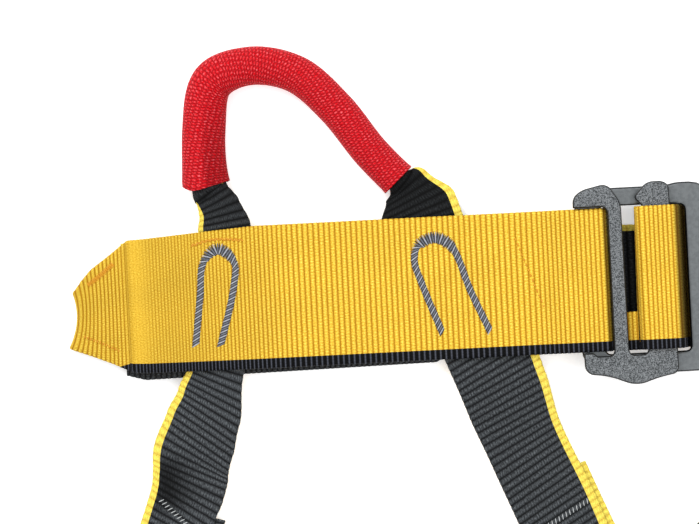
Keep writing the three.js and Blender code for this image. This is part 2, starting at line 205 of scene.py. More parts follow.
# On the wrap, and from where to where the side band's ribs widen to the even pitch
WRAP_PITCH = 1.40
WRAP_PITCH_END = 114
EVEN_PITCH_START = 122
BAND_SHADE = (
    # x, brightness there: darker where the ribs are drawn together, which is partly painted shade; painted
    # shade at the foot of the tip's fold and where the band folds into the buckle's slot, and a painted
    # highlight on the fold's ridge
    (-79, 0.86),
    (-63, 0.86),
    (-60.6, 0.82),
    (-59.8, 0.92),
    (-58.6, 1.0),
    (-57.0, 0.96),
    (-54, 0.86),
    (-48, 0.84),
    (-30, 0.88),
    (-7, 1.0),
    (88.6, 1.0),
    (89.4, 0.4),
    (90.4, 0.12),
)
BAND_RELIEF = (
    # x, depth of the grooves as a share: deep in the tip, nearly smooth on the fold under its painted
    # highlight and fine beside it
    (-64, 1.0),
    (-61.4, 0.75),
    (-60, 0.12),
    (-56.5, 0.12),
    (-53, 0.6),
    (-38, 0.82),
    (-26, 0.95),
    (-10, 1.0),
)
LEFT_NECK_SHADE = (
    # y, brightness there: the tie-in webbing lies in the shade where it leaves the sleeve
    (18, 0.8),
    (24, 0.38),
    (34, 0.26),
)
RIGHT_NECK_SHADE = (
    (18, 0.7),
    (22, 0.14),
    (34, 0.10),
)
WRAP_SHADE = (
    # x, brightness there: painted shade where the side band turns down over the edge of the covered bar, and
    # beside it up to the frame's rail
    (WRAP_RIGHT - 1.9, 1.0),
    (WRAP_RIGHT - 1.2, 0.36),
    (WRAP_RIGHT - 0.4, 0.1),
    (WRAP_RIGHT + 2.4, 0.1),
    (WRAP_RIGHT + 3.6, 1.0),
)
# A painted shade on the left leg, as in a hollow: its middle, its half sizes and how much of the light it
# takes
HOLLOW_SHADE_X = -52
HOLLOW_SHADE_Y = -57.5
HOLLOW_SHADE_HALF_WIDTH = 7.5
HOLLOW_SHADE_HALF_LENGTH = 9
HOLLOW_SHADE_DEPTH = 0.85
# Painted shade on the black backing band, which lies under the front band
BACKING_SHADE = 0.5
# The back strap's brightness under the buckle, and how far to each side of its bar that reaches
COVERED_SHADE = 0.3
COVERED_REACH = 30


def tie_in_shade(point):
    """Painted shade: dark necks, and a dark hollow on the left leg above its joint."""
    neck = read_table(LEFT_NECK_SHADE if point.x < 0 else RIGHT_NECK_SHADE, point.y)
    across = ((point.x - HOLLOW_SHADE_X) / HOLLOW_SHADE_HALF_WIDTH) ** 2
    along = ((point.y - HOLLOW_SHADE_Y) / HOLLOW_SHADE_HALF_LENGTH) ** 4
    return neck * (1 - HOLLOW_SHADE_DEPTH * math.exp(-across - along))


def back_shade(point):
    """The back strap lies in the dark under the buckle."""
    return COVERED_SHADE if abs(point.x - BAR_RIGHT) < COVERED_REACH else 1.0


def strip_along_x(rows, columns):
    """The middle surface of a strip that runs along X, with its tips drawn in."""
    grid = []
    for x, z, low, high in round_route(rows):
        pull = 0.0
        for tip, inward in ((LEFT_TIP, 1), (RIGHT_TIP, -1)):
            share = max(0.0, min(1.0, 1 - inward * (x - tip) / TAPER))
            pull += inward * share * share
        points = []
        for column in range(columns + 1):
            share = column / columns
            hollow = TIP_HOLLOW * (1 - (2 * share - 1) ** 2)
            skew = TIP_SKEW * (share - 0.5)
            points.append(Vector((x + pull * (hollow + skew), mix(low, high, share), z)))
        grid.append(points)
    return grid


TIP_ROWS = (
    # from the tip as a share of the taper, low and high edges as shares of the half band
    (1.0, -0.96, 0.88),
    (0.68, -0.83, 0.68),
    (0.36, -0.71, 0.50),
    (0.17, -0.645, 0.34),
)
TIP_EDGE = (-0.60, 0.20)


def tip_rows(tip, inward, height):
    """The rows of a band's tip, from the band outwards, round its fold and back under it."""
    rows = []
    for share, low, high in TIP_ROWS:
        z = height if share == 1.0 else layer(2)
        turn = TAPER_ROUNDING if share == 1.0 else 0.0
        rows.append((tip + inward * share * TAPER, z, low * HALF_BAND, high * HALF_BAND, turn))
    low, high = (edge * HALF_BAND for edge in TIP_EDGE)
    turn = layer(1) - layer(0)
    rows.append((tip + inward * WEB / 2, layer(2), low, high, turn))
    rows.append((tip + inward * WEB / 2, layer(0), low, high, turn))
    rows.append((tip + inward * TUCK, layer(0), low, high, 0))
    return rows


# Each route's rows are (x, z, low edge, high edge, length of the rounding), from one end to the other


def front_band_rows():
    turn = (OVER_RAIL - layer(2)) / 2
    rail_left = RAIL_RIGHT - FRAME_RAIL
    full = (-HALF_BAND, HALF_BAND)
    return [
        (RAIL_RIGHT - 22, layer(2), *full, 0),
        (FOLD_X + FOLD_EASE, layer(2), *full, turn),
        (FOLD_X + FOLD_EASE, OVER_RAIL, *full, turn),
        (rail_left - 2.4, OVER_RAIL, *full, 2),
        (rail_left - 10, layer(3), *full, 2),
        (-20, layer(3), *full, 0),
        (-40, layer(3), -0.99 * HALF_BAND, 0.94 * HALF_BAND, 0),
        (LEFT_TIP + TAPER + 5, layer(3.1), -0.98 * HALF_BAND, 0.89 * HALF_BAND, 2),
        (LEFT_TIP + TAPER + 0.9, layer(2.9), -0.97 * HALF_BAND, 0.885 * HALF_BAND, TAPER_ROUNDING),
        *tip_rows(LEFT_TIP, 1, layer(2.1)),
    ]


def backing_rows():
    return [
        (LEFT_TIP + 17, layer(1), -22.6, 19, 0),
        (LEFT_TIP + 23, layer(1), -1.08 * HALF_BAND, 19, 0),
        (35, layer(1), -1.035 * HALF_BAND, 20, 0),
        (37, layer(1), -0.99 * HALF_BAND, 20, 0),
        (45, layer(1), -0.99 * HALF_BAND, 20, 0),
    ]


def side_band_rows():
    tail = (-HALF_BAND, -HALF_BAND + TAIL_SHARE * BAND_WIDTH)
    full = (-HALF_BAND, HALF_BAND)
    return [
        (TAIL_START, UNDER_PLATE, *tail, 0),
        (TAIL_END, UNDER_PLATE, *tail, 0),
        (TAIL_WIDENED, UNDER_PLATE, *full, 0),
        (WRAP_LEFT, UNDER_PLATE, *full, 1),
        (WRAP_LEFT, OVER_PLATE, *full, 2),
        (WRAP_RIGHT, OVER_PLATE, *full, 2),
        (WRAP_RIGHT, layer(2), *full, 1.8),
        (WINDOW_RIGHT + 10, layer(2), *full, 0),
        (RIGHT_TIP - TAPER - 30, layer(2), *full, 0),
        *tip_rows(RIGHT_TIP, -1, layer(2)),
    ]


def back_strap_rows():
    end = (-0.52 * HALF_BAND, 0.14 * HALF_BAND)
    near = (-0.60 * HALF_BAND, 0.36 * HALF_BAND)
    # Under the plate's slot the strap reaches further down, so that none of the floor shows there
    under_slot = 3.1

    def wide(middle):
        return (middle - HALF_STRAP, middle + HALF_STRAP)

    return [
        (LEFT_TIP + 3.4, layer(1), *end, 0),
        (LEFT_TIP + 9, layer(1), *near, 1.5),
        (LEFT_TIP + 16, layer(0), *wide(-3.5), 1.5),
        (-20, layer(0), *wide(-2), 0),
        (BAR_RIGHT, layer(0), wide(4.5)[0] - under_slot, wide(4.5)[1], 0),
        (RIGHT_TIP - 60, layer(0), *wide(0), 0),
        (RIGHT_TIP - 16, layer(0), *wide(-3), 1.5),
        (RIGHT_TIP - 9, layer(1), *near, 1.5),
        (RIGHT_TIP - 3.4, layer(1), *end, 0),
    ]


LOOP_ROWS = (
    # share of the loop's span, share of its height, sleeve width as a share
    (0.0, 0.484, 1.09),
    (-0.003, 0.74, 1.09),
    (0.055, 0.94, 1.06),
    (0.25, 1.0, 0.97),
    (0.49, 0.955, 0.95),
    (0.69, 0.80, 0.93),
    (0.86, 0.605, 0.92),
    (1.0, 0.475, 0.92),
)
LEFT_LEG = (
    # x, y, height, width, curl
    (-33.2, 33.2, SLEEVE_HEIGHT / 2, 0.55 * STRAP_WIDTH, 0.3),
    (-31.0, 28.6, layer(2.4), 0.54 * STRAP_WIDTH, 0),
    (-29.8, 22.8, layer(2), 0.66 * STRAP_WIDTH, 0),
    (-29.5, 17.0, layer(2), 0.74 * STRAP_WIDTH, 0),
    (-31.4, 0.0, layer(2), 0.96 * STRAP_WIDTH, 0),
    (-34.6, -22.6, layer(2), 0.69 * STRAP_WIDTH, 0),
    (-37.4, -33.6, layer(1.6), 0.86 * STRAP_WIDTH, 0),
    (-40.5, -41.6, layer(1.3), 0.96 * STRAP_WIDTH, 0),
    (-43.7, -50.0, layer(1), STRAP_WIDTH, 0),
    (-45.3, -57.6, layer(1), 0.95 * STRAP_WIDTH, 0),
    (-47.2, -64.0, layer(1), 0.88 * STRAP_WIDTH, 0),
    (-49.3, -70.0, layer(1), 0.87 * STRAP_WIDTH, 0),
    (-55.5, -92.0, layer(1), STRAP_WIDTH, 0),
)
RIGHT_LEG = (
    (28.3, 32.2, SLEEVE_HEIGHT / 2, 0.68 * STRAP_WIDTH, 0.05),
    (31.6, 25.5, layer(2), STRAP_WIDTH, 0),
    (34.4, 17.0, layer(2), STRAP_WIDTH, 0),
    (42.0, 0.0, layer(2), STRAP_WIDTH, 0),
    (53.1, -24.0, layer(2), 1.12 * STRAP_WIDTH, 0),
    (56.6, -34.0, layer(1.6), 1.10 * STRAP_WIDTH, 0),
    (61.8, -50.0, layer(1), 1.01 * STRAP_WIDTH, 0),
    (70.4, -71.0, layer(1), 1.03 * STRAP_WIDTH, 0),
    (77.4, -89.0, layer(1), STRAP_WIDTH, 0),
)


def smooth_route(rows, steps):
    """Points on a centripetal curve through the rows' x and y, the other columns blended between rows."""
    points = [Vector(row[:2]) for row in rows]
    points = [points[0] * 2 - points[1], *points, points[-1] * 2 - points[-2]]
    found = []
    for place in range(len(rows) - 1):
        p0, p1, p2, p3 = points[place : place + 4]
        d0, d1, d2 = ((b - a).length ** 0.5 for a, b in ((p0, p1), (p1, p2), (p2, p3)))
        leave = ((p1 - p0) / d0 - (p2 - p0) / (d0 + d1) + (p2 - p1) / d1) * d1
        arrive = ((p2 - p1) / d1 - (p3 - p1) / (d1 + d2) + (p3 - p2) / d2) * d1
        last = place == len(rows) - 2
        for step in range(steps + (1 if last else 0)):
            t = step / steps
            point = (
                p1 * (2 * t**3 - 3 * t**2 + 1)
                + leave * (t**3 - 2 * t**2 + t)
                + p2 * (3 * t**2 - 2 * t**3)
                + arrive * (t**3 - t**2)
            )
            slope = (
                p1 * (6 * t**2 - 6 * t)
                + leave * (3 * t**2 - 4 * t + 1)
                + p2 * (6 * t - 6 * t**2)
                + arrive * (3 * t**2 - 2 * t)
            ).normalized()
            soft = soft_step(t)
            values = [mix(a, b, soft) for a, b in zip(rows[place][2:], rows[place + 1][2:])]
            found.append((point, slope, Vector((-slope.y, slope.x, 0)), values))
    return found


def tie_in_route(steps):
    """Every place of the tie-in webbing, and the first and last of the sleeved stretch."""
    loop = []
    for across, up, tube in LOOP_ROWS:
        place = (LOOP_LEFT + across * LOOP_SPAN, up * LOOP_HEIGHT)
        loop.append((*place, SLEEVE_HEIGHT / 2, STRAP_WIDTH, 1, tube * SLEEVE_WIDTH))
    left = [(*row, loop[0][5]) for row in reversed(LEFT_LEG)]
    right = [(*row, loop[-1][5]) for row in RIGHT_LEG]
    first = len(left) * steps
    return smooth_route([*left, *loop, *right], steps), first, first + (len(loop) - 1) * steps


# Below the band the weft lies aslant, more on the left leg than on the right one: degrees, start, length
LEFT_SLANT = 15
RIGHT_SLANT = -9
SLANT_START = -10
SLANT_LENGTH = 20


def tie_in_grid(columns=14, steps=10):
    route = tie_in_route(steps)[0]
    inset = SLEEVE_WALL + SLEEVE_PLAY + WEB / 2
    grid = []
    for point, slope, left, (height, width, curl, tube) in route:
        points = []
        reached = soft_step((SLANT_START - point.y) / SLANT_LENGTH)
        aslant = math.radians(LEFT_SLANT if point.x < 0 else RIGHT_SLANT) * reached
        for column in range(columns + 1):
            share = column / columns - 0.5
            angle = math.radians(CURL) * share
            across = mix(share * width, (tube / 2 - inset) * math.sin(angle), curl)
            up = (SLEEVE_HEIGHT / 2 - inset) * math.cos(angle) * curl
            spot = point + left.to_2d() * across + slope * (across * math.tan(aslant))
            points.append(spot.to_3d() + Vector((0, 0, height + up)))
        grid.append(points)
    return grid


SHOULDERS = {
    # routes down to the shoulder fold and back to the back strap, and the side of the yellow edge
    "shoulder_strap_left": (
        ((-46.2, -66.6), (-48.6, -75), (-60, -116), (-95, -268)),
        ((-95, -268), (60, -140), (222, -6)),
        "low",
    ),
    "shoulder_strap_right": (
        ((68.8, -61.6), (73, -72), (90, -114), (165, -325)),
        ((165, -325), (231, -170), (300, -6)),
        "high",
    ),
}


def shoulder_grid(down, back):
    """The middle surface of a shoulder strap: down on the surface, turned over, and back one layer up."""
    downwards = smooth_route([(*row, 0) for row in down], 14)
    upwards = smooth_route([(*row, 0) for row in back], 20)
    fold_in = downwards[-1][0]
    slope_in, slope_out = downwards[-1][1], upwards[0][1]
    out = (slope_in - slope_out).normalized().to_3d()
    fold_line = Vector((-out.y, out.x, 0))
    fold_line /= fold_line.dot(downwards[-1][2])
    returning = 1 if fold_line.dot(upwards[0][2]) > 0 else -1

    def sheared(point, left, side):
        share = max(0.0, 1 - (point - fold_in).length / (2 * STRAP_WIDTH))
        return (left * side).lerp(fold_line, share)

    radius = (layer(1) - layer(0)) / 2
    rows = [(p.to_3d() + Vector((0, 0, layer(0))), sheared(p, left, 1)) for p, _, left, _ in downwards]
    turns = 8
    for turn in range(1, turns):
        angle = turn / turns * math.pi
        lift = Vector((0, 0, layer(0) + radius * (1 - math.cos(angle))))
        rows.append((fold_in.to_3d() + out * radius * math.sin(angle) + lift, fold_line))
    rows += [(p.to_3d() + Vector((0, 0, layer(1))), sheared(p, left, returning)) for p, _, left, _ in upwards]
    edges = (-1, -0.5, 0, 0.5, 1)
    return [[point + across * (edge * HALF_STRAP) for edge in edges] for point, across in rows]


# Meshes


# A rib is rounded by this power of a cosine, and stands out at the webbing's edge by a share of its depth
RIB_ROUNDING = 0.7
EDGE_BULGE = 0.6


def resample(grid, pitch_at, samples):
    """The grid's rows at even shares of a rib, each with the count of ribs up to it."""
    middle = len(grid[0]) // 2
    fine = [(0.0, grid[0])]
    for before, after in zip(grid, grid[1:]):
        length = (after[middle] - before[middle]).length
        parts = math.ceil(length)
        for part in range(1, parts + 1):
            points = [a.lerp(b, part / parts) for a, b in zip(before, after)]
            fine.append((fine[-1][0] + length / parts / pitch_at(points[middle].x), points))
    count = round(fine[-1][0] * samples)
    rows = []
    place = 0
    for step in range(count + 1):
        ribs = fine[-1][0] * step / count
        while place < len(fine) - 2 and fine[place + 1][0] < ribs:
            place += 1
        share = (ribs - fine[place][0]) / (fine[place + 1][0] - fine[place][0])
        rows.append((ribs, [a.lerp(b, share) for a, b in zip(fine[place][1], fine[place + 1][1])]))
    return rows


def cross_section(columns, width, thickness):
    """The closed outline across a strip: (share of the width, share of the half thickness)."""
    # The edge is round over half of the thickness
    rim = thickness * 0.5 / width
    top = [(0.0, 0.0), (rim * 0.25, 0.7), (rim, 1.0)]
    top += [(mix(rim, 1 - rim, column / columns), 1.0) for column in range(1, columns)]
    top += [(1 - rim, 1.0), (1 - rim * 0.25, 0.7), (1.0, 0.0)]
    return top + [(share, -height) for share, height in reversed(top[1:-1])] + [top[0]]


def sample_row(points, share):
    """A point, and the direction across, at a share of a row."""
    last = len(points) - 1
    place = min(int(share * last), last - 1)
    start, end = points[place], points[place + 1]
    return start.lerp(end, share * last - place), end - start


# Points nearer than this many metres are one point
SAME_PLACE = 1e-7


def make_object(name, mesh_data, materials, node, cast=False):
    """Finishes a bmesh in metres as a piece that rides on the root; a cast piece keeps its flats flat."""
    mesh = bpy.data.meshes.new(name)
    mesh_data.to_mesh(mesh)
    mesh_data.free()
    for material in materials:
        mesh.materials.append(material)
    piece = bpy.data.objects.new(name, mesh)
    bpy.context.scene.collection.objects.link(piece)
    for polygon in mesh.polygons:
        polygon.use_smooth = not cast or polygon.material_index == 1
    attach(piece, "root")
    if node:
        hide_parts(node)
    return piece


def webbing_solid(
    name,
    grid,
    width,
    pitch_at,
    ridge,
    materials,
    shade_at,
    across_at,
    columns=18,
    samples=6,
    relief=((0, 1.0),),
):
    """A ribbed strip of webbing on a middle surface; its UV holds ribs along it and millimetres across."""
    rows = resample(grid, pitch_at, samples)
    section = cross_section(columns, width, WEB)
    mesh_data = bmesh.new()
    weave = mesh_data.loops.layers.uv.new("weave")
    shade = mesh_data.verts.layers.float.new("shade")
    groove = mesh_data.verts.layers.float.new("groove")
    last_row, last_side = len(rows) - 1, len(section) - 1
    bmesh.ops.create_grid(mesh_data, x_segments=last_row, y_segments=last_side, size=1.0)
    place_of = {}
    half = WEB / 2
    for vert in mesh_data.verts:
        row = round((vert.co.x + 1) / 2 * last_row)
        side = round((vert.co.y + 1) / 2 * last_side)
        ribs, points = rows[row]
        share, height = section[side]
        point, across = sample_row(points, share)
        ahead = sample_row(rows[min(row + 1, last_row)][1], share)[0]
        behind = sample_row(rows[max(row - 1, 0)][1], share)[0]
        normal = (ahead - behind).cross(across).normalized()
        rib = abs(math.cos(math.pi * ribs)) ** RIB_ROUNDING
        depth = read_table(relief, point.x)
        lift = half - ridge * depth * (1 - rib)
        at_edge = abs(height) < 0.8
        edge = (share - 0.5) * 2 * EDGE_BULGE * ridge * rib if at_edge else 0.0
        vert.co = (point + normal * (height * lift) + across.normalized() * edge) * MM
        vert[shade] = shade_at(point)
        vert[groove] = depth
        place_of[vert] = (row, side, ribs, across_at(share, point.x))
    for face in mesh_data.faces:
        sides = [place_of[vert][1] for vert in face.verts]
        face.material_index = 0 if max(sides) <= last_side / 2 else len(materials) - 1
        for loop in face.loops:
            loop[weave].uv = place_of[loop.vert][2:4]
    bmesh.ops.remove_doubles(mesh_data, verts=mesh_data.verts, dist=SAME_PLACE)
    open_edges = [edge for edge in mesh_data.edges if edge.is_boundary]
    bmesh.ops.holes_fill(mesh_data, edges=open_edges, sides=0)
    bmesh.ops.recalc_face_normals(mesh_data, faces=mesh_data.faces)
    return make_object(f"{name}_woven", mesh_data, materials, name)


def sleeve_solid(name, material, node):
    """The red tube: an oval woven wall carried round the loop, open at both feet."""
    steps = 24
    route, first, last = tie_in_route(steps)
    stations = route[first : last + 1]
    around = 72
    mesh_data = bmesh.new()
    weave = mesh_data.loops.layers.uv.new("weave")
    shade = mesh_data.verts.layers.float.new("shade")
    bmesh.ops.create_grid(mesh_data, x_segments=len(stations) - 1, y_segments=around, size=1.0)
    lengths = [0.0]
    for before, after in zip(stations, stations[1:]):
        lengths.append(lengths[-1] + (after[0] - before[0]).length)
    place_of = {}
    for vert in mesh_data.verts:
        row = round((vert.co.x + 1) / 2 * (len(stations) - 1))
        side = round((vert.co.y + 1) / 2 * around)
        point, slope, left, values = stations[row]
        angle = side / around * 2 * math.pi
        share = row / (len(stations) - 1)
        flare = sleeve_flare(share)
        across = values[3] / 2 * math.cos(angle) * flare
        up = SLEEVE_HEIGHT / 2 * math.sin(angle) * sleeve_slope(share, angle)
        spot = point.to_3d() + left * across + slope.to_3d() * sleeve_corner(share, angle)
        vert.co = (spot + Vector((0, 0, values[0] + up))) * MM
        vert[shade] = sleeve_shade(share, angle)
        place_of[vert] = (lengths[row], side / around * SLEEVE_WIDTH * SLEEVE_GIRTH)
    for face in mesh_data.faces:
        for loop in face.loops:
            loop[weave].uv = place_of[loop.vert]
    bmesh.ops.remove_doubles(mesh_data, verts=mesh_data.verts, dist=SAME_PLACE)
    bmesh.ops.recalc_face_normals(mesh_data, faces=mesh_data.faces)
    bmesh.ops.solidify(mesh_data, geom=mesh_data.faces[:], thickness=SLEEVE_WALL * MM)
    return make_object(name, mesh_data, [material], node)


# Along the sleeve, shares count from its left end; its left leg ends at this one
LEFT_LEG_END = 0.3


def sleeve_flare(share):
    """How far the sleeve widens at its two cut ends, most at the left one."""
    at_left = 0.09 * math.exp(-((share / 0.06) ** 2))
    at_right = 0.03 * math.exp(-(((1 - share) / 0.02) ** 2))
    return 1 + at_left + at_right


def sleeve_corner(share, angle):
    """How far the outer corner of the round cut end on the left stands back from its middle, in mm."""
    return 2.6 * max(0.0, math.cos(angle)) ** 4 * math.exp(-((share / 0.045) ** 2))


def sleeve_slope(share, angle):
    """How high the sleeve's wall stands: on the left leg its inner half slopes down from a long ridge."""
    inner = max(0.0, 0.1 - math.cos(angle))
    fade = soft_step(1 - share / LEFT_LEG_END)
    return 1 - 0.42 * inner * fade * (1 if math.sin(angle) > 0 else 0)


def sleeve_shade(share, angle):
    """Painted shade: the sleeve is darker on the inner half of its left leg, where its wall slopes down."""
    return 1 - 0.34 * soft_step(1 - share / LEFT_LEG_END) * soft_step(0.6 - 3 * math.cos(angle))


def rounded_outline(mesh_data, corners):
    """A flat face in millimetres from corners that are (x, y, length of the rounding)."""
    verts = [mesh_data.verts.new((x, y, 0)) for x, y, _ in corners]
    mesh_data.faces.new(verts)
    for vert, (_, _, rounding) in zip(verts, corners):
        if rounding:
            bmesh.ops.bevel(
                mesh_data,
                geom=[vert],
                offset=rounding,
                segments=5,
                affect="VERTICES",
                profile=0.5,
                material=-1,
            )


def thicken(mesh_data, thickness, base, bevel):
    """Extrudes flat faces up to a plate, rounds its rims as the second material, and turns to metres."""
    made = bmesh.ops.extrude_face_region(mesh_data, geom=mesh_data.faces[:])
    raised = [item for item in made["geom"] if isinstance(item, bmesh.types.BMVert)]
    bmesh.ops.translate(mesh_data, verts=raised, vec=(0, 0, thickness))
    bmesh.ops.recalc_face_normals(mesh_data, faces=mesh_data.faces)
    rims = [
        edge
        for edge in mesh_data.edges
        if len(edge.link_faces) == 2
        and abs(edge.verts[0].co.z - edge.verts[1].co.z) < 1e-6
        and edge.link_faces[0].normal.dot(edge.link_faces[1].normal) < 0.5
    ]
    bmesh.ops.bevel(
        mesh_data,
        geom=rims,
        offset=bevel,
        segments=3,
        affect="EDGES",
        profile=0.5,
        material=-1,
        clamp_overlap=True,
    )
    for face in mesh_data.faces:
        face.normal_update()
        face.material_index = 0 if abs(face.normal.z) > 0.85 else 1
    bmesh.ops.translate(mesh_data, verts=mesh_data.verts, vec=(0, 0, base))
    bmesh.ops.scale(mesh_data, verts=mesh_data.verts, vec=(MM, MM, MM))


def thread_strokes(name, strokes, radius, materials):
    """Short stitches as flattened beads of thread, the materials taking turns from stitch to stitch."""
    mesh_data = bmesh.new()
    for place, (start, end) in enumerate(strokes):
        made = bmesh.ops.create_icosphere(mesh_data, subdivisions=2, radius=1.0)
        along = end - start
        turn = Vector((1, 0, 0)).rotation_difference(along).to_matrix().to_4x4()
        size = Matrix.Diagonal((along.length / 2 + radius * 0.4, radius, radius * 0.8, 1))
        spot = Matrix.Translation((start + end) / 2) @ turn @ size
        bmesh.ops.transform(mesh_data, matrix=Matrix.Scale(MM, 4) @ spot, verts=made["verts"])
        for vert in made["verts"]:
            for face in vert.link_faces:
                face.material_index = place % len(materials)
    return make_object(name, mesh_data, materials, None)


def even_places(points, spacing, height):
    """Even places along a level line of points, each with the directions along it and to its left."""
    route = smooth_route([(*point, 0) for point in points], 12)
    lengths = [0.0]
    for before, after in zip(route, route[1:]):
        lengths.append(lengths[-1] + (after[0] - before[0]).length)
    found = []
    count = max(2, round(lengths[-1] / spacing))
    place = 0
    for step in range(count + 1):
        at = lengths[-1] * step / count
        while place < len(lengths) - 2 and lengths[place + 1] < at:
            place += 1
        share = (at - lengths[place]) / (lengths[place + 1] - lengths[place])
        middle = route[place][0].lerp(route[place + 1][0], share)
        found.append((Vector((middle.x, middle.y, height)), route[place][1].to_3d(), route[place][2]))
    return found


def zigzag(points, pitch, reach, height):
    """Strokes of a zigzag that follows a level line of points."""
    turns = []
    for step, (middle, _, left) in enumerate(even_places(points, pitch / 2, height)):
        turns.append(middle + left * (reach if step % 2 else -reach))
    return list(zip(turns, turns[1:]))


def satin(points, spacing, reach, height):
    """Close strokes across a line: square to it round the arch, slanted up to the right on its legs."""
    strokes = []
    for middle, slope, left in even_places(points, spacing, height):
        upright = soft_step((abs(slope.y) - 0.6) / 0.35)
        slant = math.radians(38) * upright
        length = reach * (1.3 - 0.3 * upright)
        half = (left * math.cos(slant) - slope * math.sin(slant)) * length
        strokes.append((middle - half, middle + half))
    return strokes


def running(points, stitch, height):
    """Strokes of a running stitch along straight lines between points."""
    strokes = []
    for start, end in zip(points, points[1:]):
        start, end = Vector((*start, height)), Vector((*end, height))
        count = max(1, round((end - start).length / stitch))
        for place in range(count):
            strokes.append((start.lerp(end, place / count), start.lerp(end, (place + 0.5) / count)))
    return strokes


# Materials


def linear(hex_colour):
    """An sRGB hex value as linear red, green, blue and alpha."""
    channels = [int(hex_colour[place : place + 2], 16) / 255 for place in (1, 3, 5)]
    return tuple(c / 12.92 if c <= 0.04045 else ((c + 0.055) / 1.055) ** 2.4 for c in channels) + (1.0,)


def add_node(tree, kind, inputs=(), **settings):
    """Adds a node, sets its properties, and fills its inputs with values or links."""
    node = tree.nodes.new(kind)
    for key, value in settings.items():
        setattr(node, key, value)
    for key, value in dict(inputs).items():
        if isinstance(value, bpy.types.NodeSocket):
            tree.links.new(value, node.inputs[key])
        else:
            node.inputs[key].default_value = value
    return node


def new_material(name):
    material = bpy.data.materials.new(name)
    material.use_nodes = True
    tree = material.node_tree
    tree.nodes.clear()
    surface = add_node(tree, "ShaderNodeBsdfPrincipled")
    add_node(tree, "ShaderNodeOutputMaterial", {"Surface": surface.outputs["BSDF"]})
    return material, tree, surface


def math_node(tree, operation, first, second=0.0, third=0.0):
    return add_node(tree, "ShaderNodeMath", {0: first, 1: second, 2: third}, operation=operation).outputs[0]


def mix_colour(tree, share, first, second):
    node = add_node(tree, "ShaderNodeMix", {0: share, 6: first, 7: second}, data_type="RGBA")
    return node.outputs[2]


def ripple(tree, value):
    """Goes from 0 to 1 and back once for every whole step of a value."""
    wave = math_node(tree, "SINE", math_node(tree, "MULTIPLY", value, math.pi))
    return math_node(tree, "ABSOLUTE", wave)


def webbing_material(name, cloth, selvage, width, side, selvage_width, speckle):
    """Woven polyester webbing: ribs across it, warp threads on each rib, and a selvage of another colour."""
    material, tree, surface = new_material(name)
    weave = add_node(tree, "ShaderNodeUVMap", uv_map="weave")
    parts = add_node(tree, "ShaderNodeSeparateXYZ", {0: weave.outputs[0]})
    ribs, across = parts.outputs[0], parts.outputs[1]
    half_on = math_node(tree, "ADD", ribs, 0.5)
    ridge = math_node(tree, "POWER", ripple(tree, half_on), 0.75)
    # Warp threads are 0.95 mm apart and shift by half a thread from rib to rib
    shift = math_node(tree, "MULTIPLY", math_node(tree, "FLOOR", half_on), 0.5)
    thread = ripple(tree, math_node(tree, "ADD", math_node(tree, "DIVIDE", across, 0.95), shift))
    grain = add_node(
        tree,
        "ShaderNodeTexNoise",
        {"Vector": weave.outputs[0], "Scale": 2.6, "Detail": 2.0, "Roughness": 0.75},
    )
    patches = add_node(tree, "ShaderNodeTexNoise", {"Vector": weave.outputs[0], "Scale": 0.09, "Detail": 2.0})
    # Grain from 0 to 1: single filaments sink into the weave where it is low and carry a painted highlight
    # where it is high
    catching = {"Value": grain.outputs[0], "From Min": 0.32, "From Max": 0.68}
    glint = add_node(tree, "ShaderNodeMapRange", catching)
    depth = math_node(tree, "MULTIPLY", ridge, math_node(tree, "MULTIPLY_ADD", thread, 0.28, 0.72))
    # Where the grooves are shallow, their painted shade fades and the colour stays near that of the ribs
    groove = add_node(tree, "ShaderNodeAttribute", attribute_name="groove").outputs["Fac"]
    filled = math_node(tree, "MULTIPLY_ADD", groove, -0.66, 0.66)
    depth = math_node(tree, "ADD", math_node(tree, "MULTIPLY", depth, groove), filled)
    # Painted shade: the colour turns to the deep colour in the grooves between the ribs
    deep, body, pale = (linear(colour) for colour in cloth)
    colour = mix_colour(tree, depth, deep, body)
    # Painted highlight: the crowns of the ribs turn pale where the grain is high
    crown = math_node(tree, "MULTIPLY", math_node(tree, "POWER", depth, 2.0), glint.outputs[0])
    colour = mix_colour(tree, crown, colour, pale)
    # The selvage too has painted shade in its grooves and a painted highlight on its rib tops, narrower for a
    # higher power
    edge_deep, edge_pale, edge_power = selvage
    catch_edge = math_node(tree, "POWER", ridge, edge_power)
    edge = mix_colour(tree, catch_edge, linear(edge_deep), linear(edge_pale))
    if side == "low":
        inside = math_node(tree, "LESS_THAN", across, selvage_width)
    else:
        inside = math_node(tree, "GREATER_THAN", across, width - selvage_width)
    # The shade attribute is painted shade and highlight, on the face but not on the selvage
    shade = add_node(tree, "ShaderNodeAttribute", attribute_name="shade").outputs["Fac"]
    colour = add_node(tree, "ShaderNodeVectorMath", {0: colour, 3: shade}, operation="SCALE").outputs[0]
    colour = mix_colour(tree, inside, colour, edge)
    # Random patches of tone, and the grain brightens single filaments, partly as a painted highlight
    bright = math_node(tree, "MULTIPLY_ADD", patches.outputs[0], 0.2, 0.9 - speckle / 2)
    bright = math_node(tree, "MULTIPLY_ADD", glint.outputs[0], speckle, bright)
    scaled = add_node(tree, "ShaderNodeVectorMath", {0: colour, 3: bright}, operation="SCALE")
    tree.links.new(scaled.outputs[0], surface.inputs["Base Color"])
    height = math_node(tree, "MULTIPLY_ADD", thread, ridge, grain.outputs[0])
    bump = add_node(tree, "ShaderNodeBump", {"Height": height, "Strength": 0.8, "Distance": 0.00016})
    tree.links.new(bump.outputs[0], surface.inputs["Normal"])
    surface.inputs["Roughness"].default_value = 0.72
    surface.inputs["Specular IOR Level"].default_value = 0.12
    return material


